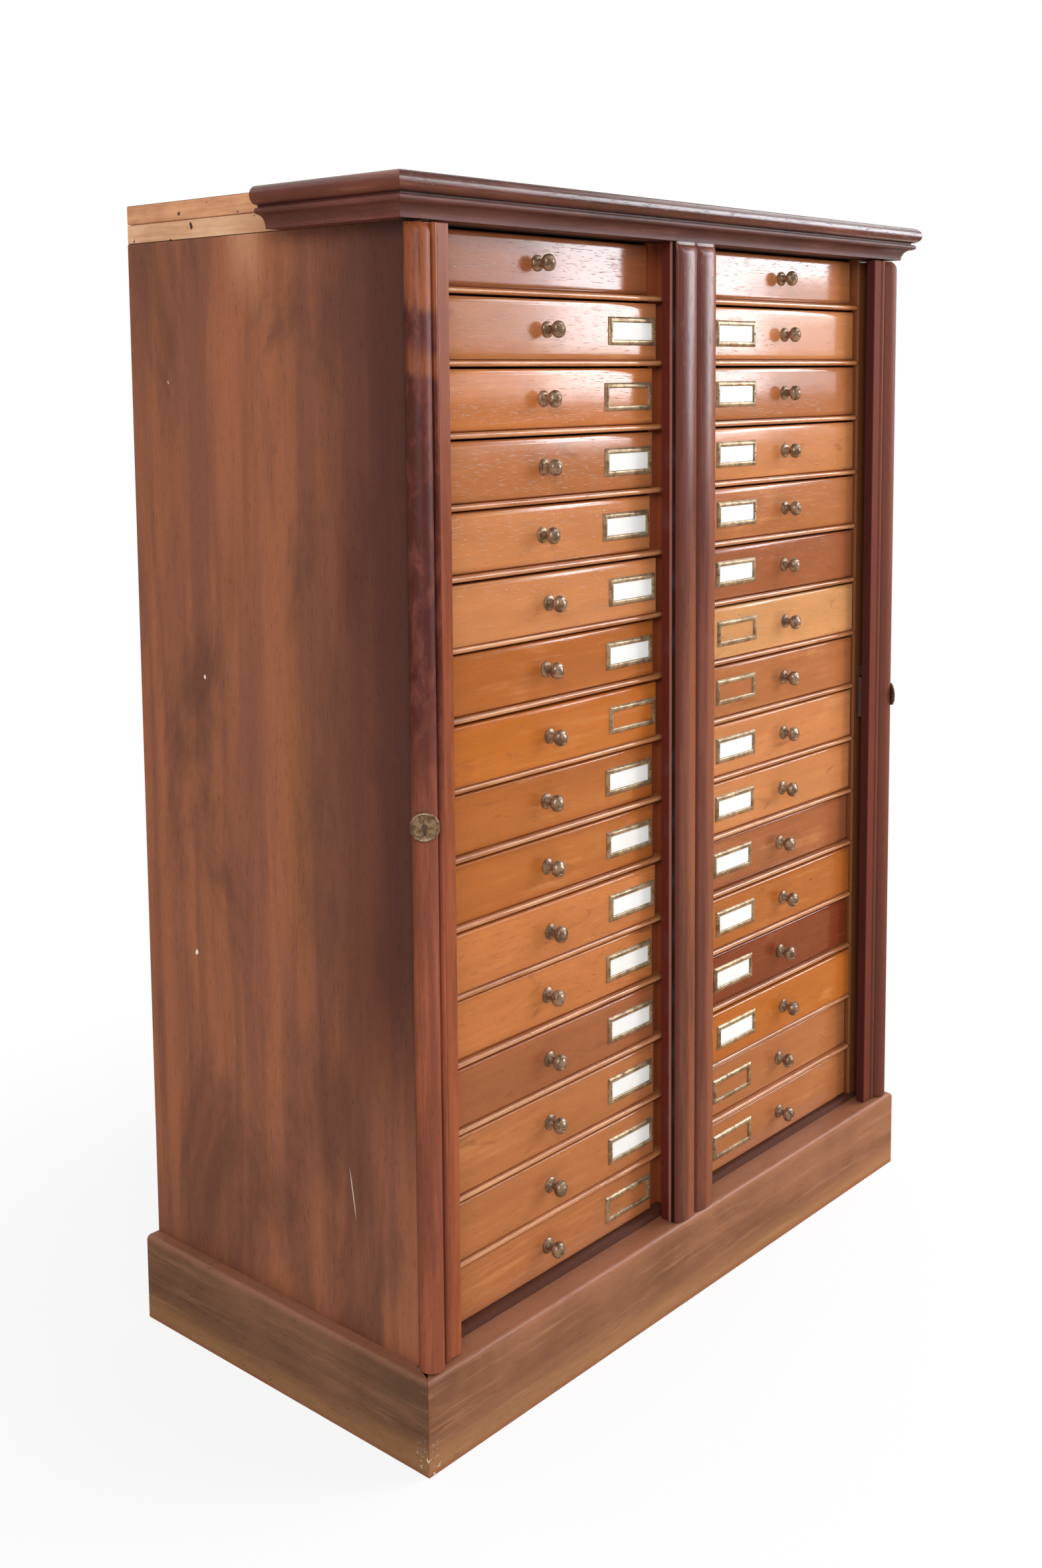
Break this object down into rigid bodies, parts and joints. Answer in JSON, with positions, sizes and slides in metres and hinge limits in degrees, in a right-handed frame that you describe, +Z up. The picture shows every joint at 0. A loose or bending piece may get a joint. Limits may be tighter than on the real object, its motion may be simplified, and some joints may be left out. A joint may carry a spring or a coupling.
{
  "type": "filing cabinet",
  "caption": "Tall mahogany collector's filing cabinet with banks of shallow labelled drawers between hinged locking corner stiles, a reeded centre pilaster, moulded cornice and plinth",
  "frame": {"origin": "centre of the footprint at floor level", "axes": "+Z up, front faces -Y, +X to its right"},
  "size_m": [0.904, 0.438, 1.1953],
  "materials": {
    "polished_mahogany": "dark french-polished mahogany, worn lighter along the edges",
    "side_mahogany": "satin mahogany with vertical streaks and fine scratches",
    "drawer_mahogany": "faded honey mahogany, polished to a gloss",
    "carcass_pine": "plain unfinished softwood inside and behind",
    "aged_brass": "brass, darkened with bright worn spots",
    "lock_steel": "plain lock steel"
  },
  "bodies": {
    "carcass": {"plinth_front": "polished_mahogany", "plinth_left": "polished_mahogany", "plinth_right": "polished_mahogany", "plinth_back": "carcass_pine", "base_board": "carcass_pine", "side_panel_left": "side_mahogany", "side_panel_right": "side_mahogany", "back_panel": "carcass_pine", "centre_partition": "carcass_pine", "top_board": "polished_mahogany", "cornice_front": "polished_mahogany", "cornice_left": "polished_mahogany", "cornice_right": "polished_mahogany", "centre_pilaster": "polished_mahogany", "drawer_rack_left": "drawer_mahogany", "drawer_rack_right": "drawer_mahogany", "lock_keeper_left": "lock_steel", "lock_keeper_right": "lock_steel"},
    "stile_left": {"locking_stile_left": "polished_mahogany", "escutcheon_left": "aged_brass", "lock_case_left": "lock_steel", "pivot_bottom_left": "aged_brass"},
    "bolt_left": {"lock_bolt_left": "lock_steel"},
    "stile_right": {"locking_stile_right": "polished_mahogany", "escutcheon_right": "aged_brass", "lock_case_right": "lock_steel", "pivot_bottom_right": "aged_brass"},
    "bolt_right": {"lock_bolt_right": "lock_steel"},
    "body_drawer_left_01": {"drawer_left_01": "drawer_mahogany"},
    "body_drawer_left_02": {"drawer_left_02": "drawer_mahogany"},
    "body_drawer_left_03": {"drawer_left_03": "drawer_mahogany"},
    "body_drawer_left_04": {"drawer_left_04": "drawer_mahogany"},
    "body_drawer_left_05": {"drawer_left_05": "drawer_mahogany"},
    "body_drawer_left_06": {"drawer_left_06": "drawer_mahogany"},
    "body_drawer_left_07": {"drawer_left_07": "drawer_mahogany"},
    "body_drawer_left_08": {"drawer_left_08": "drawer_mahogany"},
    "body_drawer_left_09": {"drawer_left_09": "drawer_mahogany"},
    "body_drawer_left_10": {"drawer_left_10": "drawer_mahogany"},
    "body_drawer_left_11": {"drawer_left_11": "drawer_mahogany"},
    "body_drawer_left_12": {"drawer_left_12": "drawer_mahogany"},
    "body_drawer_left_13": {"drawer_left_13": "drawer_mahogany"},
    "body_drawer_left_14": {"drawer_left_14": "drawer_mahogany"},
    "body_drawer_left_15": {"drawer_left_15": "drawer_mahogany"},
    "body_drawer_left_16": {"drawer_left_16": "drawer_mahogany"},
    "body_drawer_right_01": {"drawer_right_01": "drawer_mahogany"},
    "body_drawer_right_02": {"drawer_right_02": "drawer_mahogany"},
    "body_drawer_right_03": {"drawer_right_03": "drawer_mahogany"},
    "body_drawer_right_04": {"drawer_right_04": "drawer_mahogany"},
    "body_drawer_right_05": {"drawer_right_05": "drawer_mahogany"},
    "body_drawer_right_06": {"drawer_right_06": "drawer_mahogany"},
    "body_drawer_right_07": {"drawer_right_07": "drawer_mahogany"},
    "body_drawer_right_08": {"drawer_right_08": "drawer_mahogany"},
    "body_drawer_right_09": {"drawer_right_09": "drawer_mahogany"},
    "body_drawer_right_10": {"drawer_right_10": "drawer_mahogany"},
    "body_drawer_right_11": {"drawer_right_11": "drawer_mahogany"},
    "body_drawer_right_12": {"drawer_right_12": "drawer_mahogany"},
    "body_drawer_right_13": {"drawer_right_13": "drawer_mahogany"},
    "body_drawer_right_14": {"drawer_right_14": "drawer_mahogany"},
    "body_drawer_right_15": {"drawer_right_15": "drawer_mahogany"},
    "body_drawer_right_16": {"drawer_right_16": "drawer_mahogany"}
  },
  "joints": [
    {"name": "stile_left_hinge", "type": "hinge", "parent": "carcass", "child": "stile_left", "pos_m": [-0.4155, -0.186, 0.6], "axis": [0, 0, -1], "range_deg": [0, 95]},
    {"name": "bolt_left_slide", "type": "slide", "parent": "stile_left", "child": "bolt_left", "axis": [0, 0, 1], "range_m": [0, 0.008]},
    {"name": "stile_right_hinge", "type": "hinge", "parent": "carcass", "child": "stile_right", "pos_m": [0.4155, -0.186, 0.6], "axis": [0, 0, 1], "range_deg": [0, 95]},
    {"name": "bolt_right_slide", "type": "slide", "parent": "stile_right", "child": "bolt_right", "axis": [0, 0, 1], "range_m": [0, 0.008]},
    {"name": "drawer_left_01_slide", "type": "slide", "parent": "carcass", "child": "body_drawer_left_01", "axis": [0, -1, 0], "range_m": [-0.002, 0.3]},
    {"name": "drawer_left_02_slide", "type": "slide", "parent": "carcass", "child": "body_drawer_left_02", "axis": [0, -1, 0], "range_m": [-0.014, 0.3]},
    {"name": "drawer_left_03_slide", "type": "slide", "parent": "carcass", "child": "body_drawer_left_03", "axis": [0, -1, 0], "range_m": [-0.009, 0.3]},
    {"name": "drawer_left_04_slide", "type": "slide", "parent": "carcass", "child": "body_drawer_left_04", "axis": [0, -1, 0], "range_m": [-0.009, 0.3]},
    {"name": "drawer_left_05_slide", "type": "slide", "parent": "carcass", "child": "body_drawer_left_05", "axis": [0, -1, 0], "range_m": [-0.006, 0.3]},
    {"name": "drawer_left_06_slide", "type": "slide", "parent": "carcass", "child": "body_drawer_left_06", "axis": [0, -1, 0], "range_m": [-0.014, 0.3]},
    {"name": "drawer_left_07_slide", "type": "slide", "parent": "carcass", "child": "body_drawer_left_07", "axis": [0, -1, 0], "range_m": [-0.01, 0.3]},
    {"name": "drawer_left_08_slide", "type": "slide", "parent": "carcass", "child": "body_drawer_left_08", "axis": [0, -1, 0], "range_m": [-0.014, 0.3]},
    {"name": "drawer_left_09_slide", "type": "slide", "parent": "carcass", "child": "body_drawer_left_09", "axis": [0, -1, 0], "range_m": [-0.009, 0.3]},
    {"name": "drawer_left_10_slide", "type": "slide", "parent": "carcass", "child": "body_drawer_left_10", "axis": [0, -1, 0], "range_m": [-0.01, 0.3]},
    {"name": "drawer_left_11_slide", "type": "slide", "parent": "carcass", "child": "body_drawer_left_11", "axis": [0, -1, 0], "range_m": [-0.013, 0.3]},
    {"name": "drawer_left_12_slide", "type": "slide", "parent": "carcass", "child": "body_drawer_left_12", "axis": [0, -1, 0], "range_m": [-0.009, 0.3]},
    {"name": "drawer_left_13_slide", "type": "slide", "parent": "carcass", "child": "body_drawer_left_13", "axis": [0, -1, 0], "range_m": [-0.011, 0.3]},
    {"name": "drawer_left_14_slide", "type": "slide", "parent": "carcass", "child": "body_drawer_left_14", "axis": [0, -1, 0], "range_m": [-0.011, 0.3]},
    {"name": "drawer_left_15_slide", "type": "slide", "parent": "carcass", "child": "body_drawer_left_15", "axis": [0, -1, 0], "range_m": [-0.011, 0.3]},
    {"name": "drawer_left_16_slide", "type": "slide", "parent": "carcass", "child": "body_drawer_left_16", "axis": [0, -1, 0], "range_m": [-0.007, 0.3]},
    {"name": "drawer_right_01_slide", "type": "slide", "parent": "carcass", "child": "body_drawer_right_01", "axis": [0, -1, 0], "range_m": [-0.003, 0.3]},
    {"name": "drawer_right_02_slide", "type": "slide", "parent": "carcass", "child": "body_drawer_right_02", "axis": [0, -1, 0], "range_m": [-0.008, 0.3]},
    {"name": "drawer_right_03_slide", "type": "slide", "parent": "carcass", "child": "body_drawer_right_03", "axis": [0, -1, 0], "range_m": [-0.009, 0.3]},
    {"name": "drawer_right_04_slide", "type": "slide", "parent": "carcass", "child": "body_drawer_right_04", "axis": [0, -1, 0], "range_m": [-0.01, 0.3]},
    {"name": "drawer_right_05_slide", "type": "slide", "parent": "carcass", "child": "body_drawer_right_05", "axis": [0, -1, 0], "range_m": [-0.011, 0.3]},
    {"name": "drawer_right_06_slide", "type": "slide", "parent": "carcass", "child": "body_drawer_right_06", "axis": [0, -1, 0], "range_m": [-0.01, 0.3]},
    {"name": "drawer_right_07_slide", "type": "slide", "parent": "carcass", "child": "body_drawer_right_07", "axis": [0, -1, 0], "range_m": [-0.012, 0.3]},
    {"name": "drawer_right_08_slide", "type": "slide", "parent": "carcass", "child": "body_drawer_right_08", "axis": [0, -1, 0], "range_m": [-0.011, 0.3]},
    {"name": "drawer_right_09_slide", "type": "slide", "parent": "carcass", "child": "body_drawer_right_09", "axis": [0, -1, 0], "range_m": [-0.011, 0.3]},
    {"name": "drawer_right_10_slide", "type": "slide", "parent": "carcass", "child": "body_drawer_right_10", "axis": [0, -1, 0], "range_m": [-0.01, 0.3]},
    {"name": "drawer_right_11_slide", "type": "slide", "parent": "carcass", "child": "body_drawer_right_11", "axis": [0, -1, 0], "range_m": [-0.007, 0.3]},
    {"name": "drawer_right_12_slide", "type": "slide", "parent": "carcass", "child": "body_drawer_right_12", "axis": [0, -1, 0], "range_m": [-0.012, 0.3]},
    {"name": "drawer_right_13_slide", "type": "slide", "parent": "carcass", "child": "body_drawer_right_13", "axis": [0, -1, 0], "range_m": [-0.009, 0.3]},
    {"name": "drawer_right_14_slide", "type": "slide", "parent": "carcass", "child": "body_drawer_right_14", "axis": [0, -1, 0], "range_m": [-0.014, 0.3]},
    {"name": "drawer_right_15_slide", "type": "slide", "parent": "carcass", "child": "body_drawer_right_15", "axis": [0, -1, 0], "range_m": [-0.008, 0.3]},
    {"name": "drawer_right_16_slide", "type": "slide", "parent": "carcass", "child": "body_drawer_right_16", "axis": [0, -1, 0], "range_m": [-0.009, 0.3]}
  ]
}
